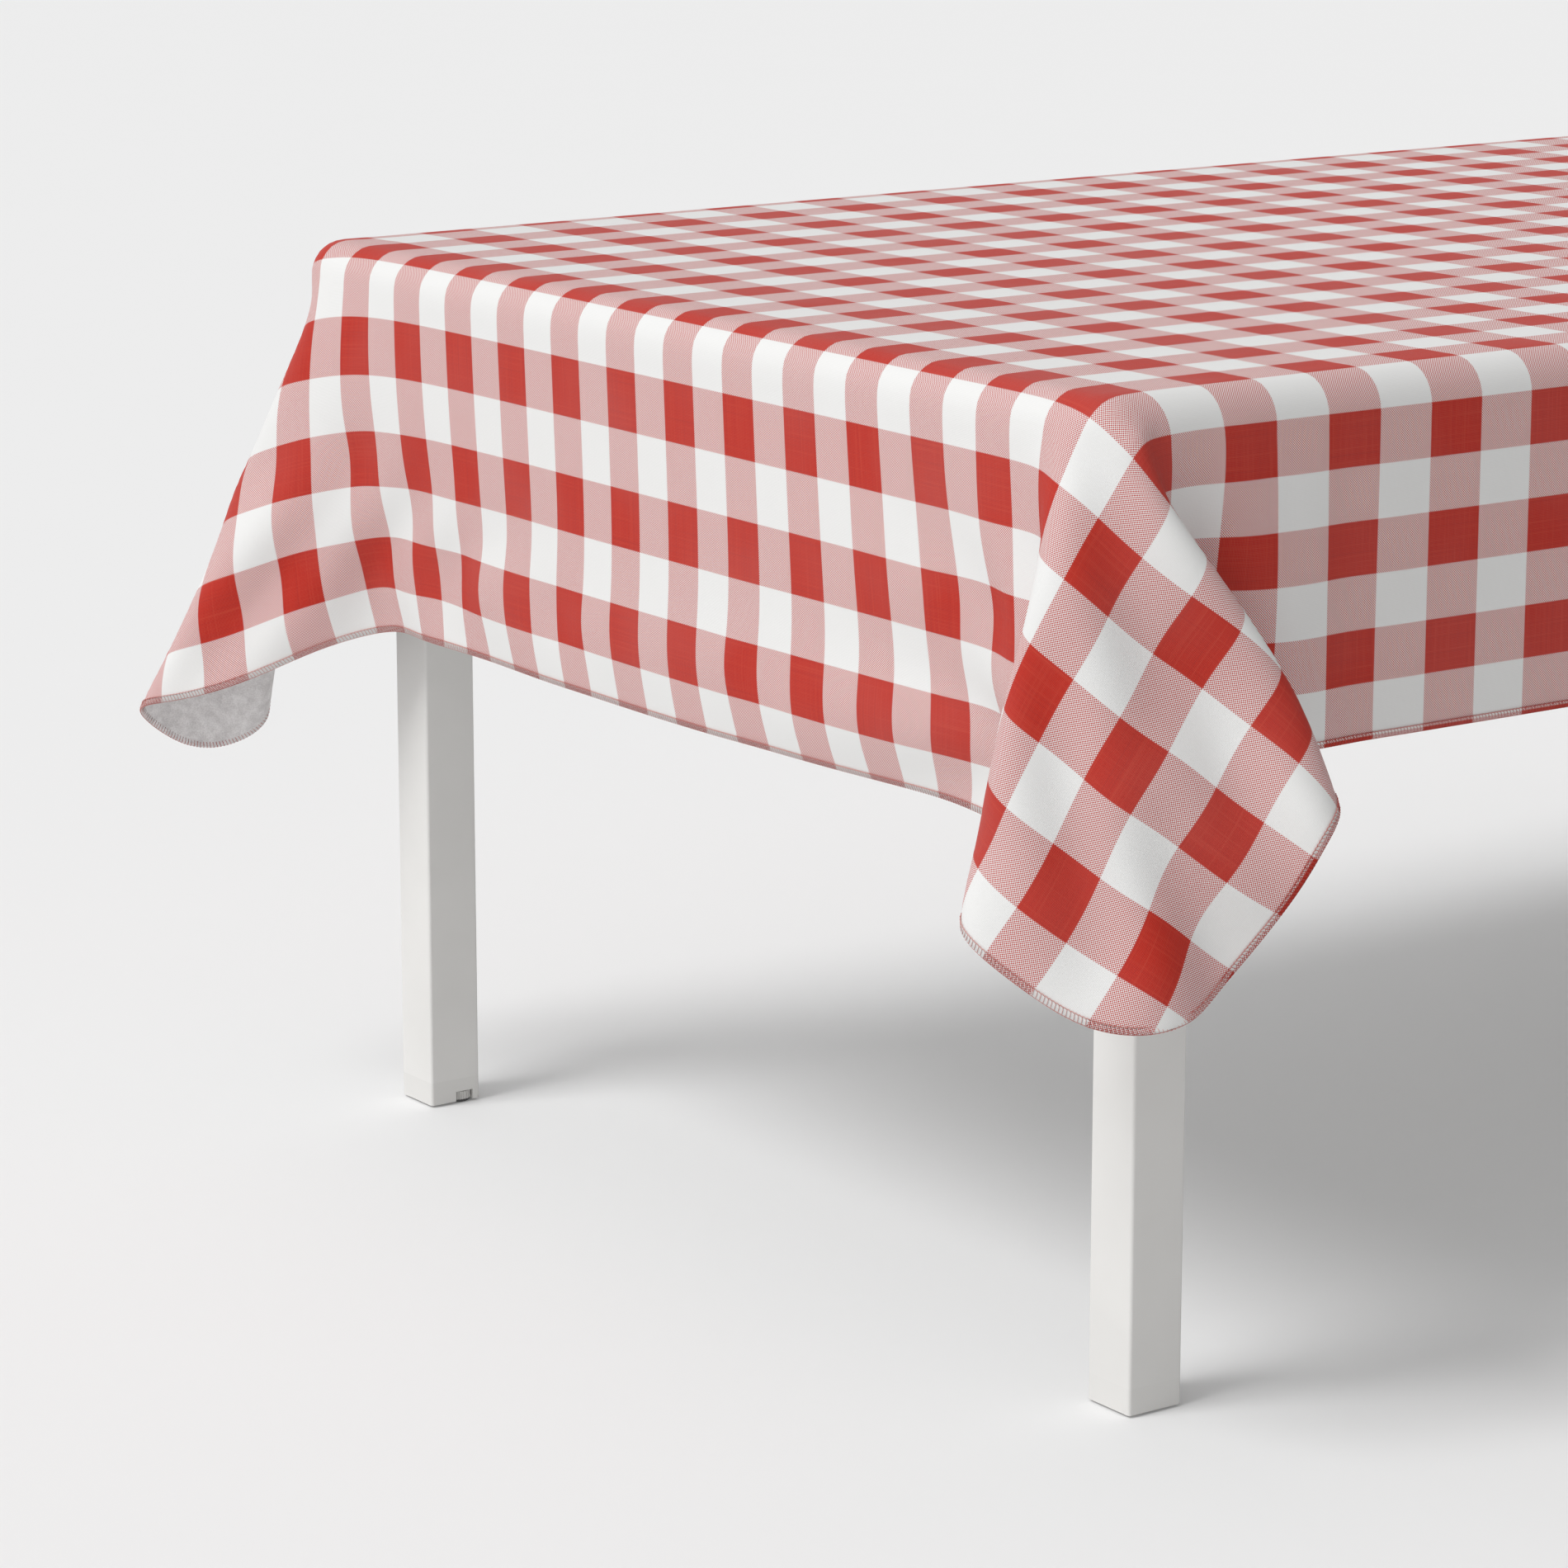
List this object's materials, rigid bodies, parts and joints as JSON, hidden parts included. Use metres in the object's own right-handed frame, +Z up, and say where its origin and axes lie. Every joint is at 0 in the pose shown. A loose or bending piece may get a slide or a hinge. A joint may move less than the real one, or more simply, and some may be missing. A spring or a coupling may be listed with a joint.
{
  "type": "dressed dining table",
  "caption": "Rectangular dining table on four square legs with levelling feet, dressed with a draped gingham tablecloth with rounded, stitched corners.",
  "frame": {"origin": "on the floor under the middle of the table", "axes": "+X along the table's long side, +Y across the table, +Z up"},
  "size_m": [1.8764, 1.3364, 0.745],
  "materials": {
    "tabletop_laminate": "satin white melamine",
    "particle_board": "raw chipboard",
    "powder_coat": "warm white satin powder coat",
    "bracket_steel": "satin",
    "cap_plastic": "fine matt grain",
    "insert_brass": "turned",
    "adjuster_plastic": "moulded",
    "glide_plastic": "moulded",
    "zinc_steel": "zinc plated",
    "printed_cloth": "woven red and white check with a soft satin coating",
    "felt": "pale grey needle felt",
    "hem_thread": "overlock stitching"
  },
  "bodies": {
    "table": {"tabletop_core": "particle_board", "top_laminate": "tabletop_laminate", "underside_laminate": "tabletop_laminate", "edge_band_front": "tabletop_laminate", "edge_band_back": "tabletop_laminate", "edge_band_left": "tabletop_laminate", "edge_band_right": "tabletop_laminate", "rail_front": "powder_coat", "rail_back": "powder_coat", "rail_left": "powder_coat", "rail_right": "powder_coat", "leg_tube_front_left": "powder_coat", "leg_tube_front_right": "powder_coat", "leg_tube_back_right": "powder_coat", "leg_tube_back_left": "powder_coat", "corner_bracket_front_left": "bracket_steel", "corner_bracket_front_right": "bracket_steel", "corner_bracket_back_right": "bracket_steel", "corner_bracket_back_left": "bracket_steel", "foot_cap_front_left": "cap_plastic", "foot_cap_front_right": "cap_plastic", "foot_cap_back_right": "cap_plastic", "foot_cap_back_left": "cap_plastic", "foot_insert_front_left": "insert_brass", "foot_insert_front_right": "insert_brass", "foot_insert_back_right": "insert_brass", "foot_insert_back_left": "insert_brass", "leg_bolts": "zinc_steel", "leg_nuts": "zinc_steel", "tabletop_screws": "zinc_steel"},
    "tablecloth": {"cloth_face": "printed_cloth", "felt_backing": "felt", "overlock_hem": "hem_thread"},
    "glide_front_left": {"foot_glide_front_left": "glide_plastic"},
    "adjuster_front_left": {"foot_adjuster_front_left": "adjuster_plastic"},
    "glide_front_right": {"foot_glide_front_right": "glide_plastic"},
    "adjuster_front_right": {"foot_adjuster_front_right": "adjuster_plastic"},
    "glide_back_right": {"foot_glide_back_right": "glide_plastic"},
    "adjuster_back_right": {"foot_adjuster_back_right": "adjuster_plastic"},
    "glide_back_left": {"foot_glide_back_left": "glide_plastic"},
    "adjuster_back_left": {"foot_adjuster_back_left": "adjuster_plastic"}
  },
  "joints": [
    {"name": "cloth_lift", "type": "slide", "parent": "table", "child": "tablecloth", "axis": [0, 0, 1], "range_m": [0, 0.44]},
    {"name": "level_front_left", "type": "slide", "parent": "table", "child": "glide_front_left", "axis": [0, 0, -1], "range_m": [0, 0.008]},
    {"name": "turn_front_left", "type": "hinge", "parent": "glide_front_left", "child": "adjuster_front_left", "pos_m": [-0.7071, -0.465, 0.006], "axis": [0, 0, 1], "range_deg": [0, 2160]},
    {"name": "level_front_right", "type": "slide", "parent": "table", "child": "glide_front_right", "axis": [0, 0, -1], "range_m": [0, 0.008]},
    {"name": "turn_front_right", "type": "hinge", "parent": "glide_front_right", "child": "adjuster_front_right", "pos_m": [0.7071, -0.465, 0.006], "axis": [0, 0, 1], "range_deg": [0, 2160]},
    {"name": "level_back_right", "type": "slide", "parent": "table", "child": "glide_back_right", "axis": [0, 0, -1], "range_m": [0, 0.008]},
    {"name": "turn_back_right", "type": "hinge", "parent": "glide_back_right", "child": "adjuster_back_right", "pos_m": [0.7071, 0.465, 0.006], "axis": [0, 0, 1], "range_deg": [0, 2160]},
    {"name": "level_back_left", "type": "slide", "parent": "table", "child": "glide_back_left", "axis": [0, 0, -1], "range_m": [0, 0.008]},
    {"name": "turn_back_left", "type": "hinge", "parent": "glide_back_left", "child": "adjuster_back_left", "pos_m": [-0.7071, 0.465, 0.006], "axis": [0, 0, 1], "range_deg": [0, 2160]}
  ],
  "couplings": [
    {"joint": "level_front_left", "follows": "turn_front_left", "m_per_rad": 0.00019894},
    {"joint": "level_front_right", "follows": "turn_front_right", "m_per_rad": 0.00019894},
    {"joint": "level_back_right", "follows": "turn_back_right", "m_per_rad": 0.00019894},
    {"joint": "level_back_left", "follows": "turn_back_left", "m_per_rad": 0.00019894}
  ]
}
